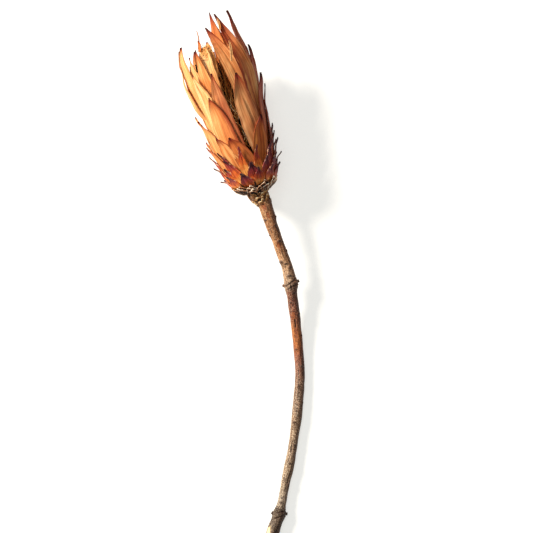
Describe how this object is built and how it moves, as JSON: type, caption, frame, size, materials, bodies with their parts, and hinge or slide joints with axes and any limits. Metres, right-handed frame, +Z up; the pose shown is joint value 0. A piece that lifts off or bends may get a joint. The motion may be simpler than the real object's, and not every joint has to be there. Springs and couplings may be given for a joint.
{
  "type": "dried protea flower",
  "caption": "Dried protea bloom on its cut woody stem: a slim closed head of pointed papery bracts with small dark scales at its base, lying on its side.",
  "frame": {"origin": "on the surface that the flower lies on, under the middle of its bounding box", "axes": "+Z up from that surface; +Y along the flower, from the cut end of the stem to the head, which leans to -X"},
  "size_m": [0.0732, 0.3198, 0.0456],
  "materials": {
    "bark": "rough grey-brown bark with fine grain",
    "scale": "dry, dull purple-brown",
    "outer_bract": "dry and papery, faint silky sheen",
    "inner_bract": "dry and papery, thin enough to glow against the light",
    "floret": "dry, dull dark brown fibre"
  },
  "bodies": {
    "root": {"stem": "bark", "base_scales": "scale", "outer_bracts": "outer_bract", "inner_bracts": "inner_bract", "florets": "floret"}
  },
  "joints": []
}
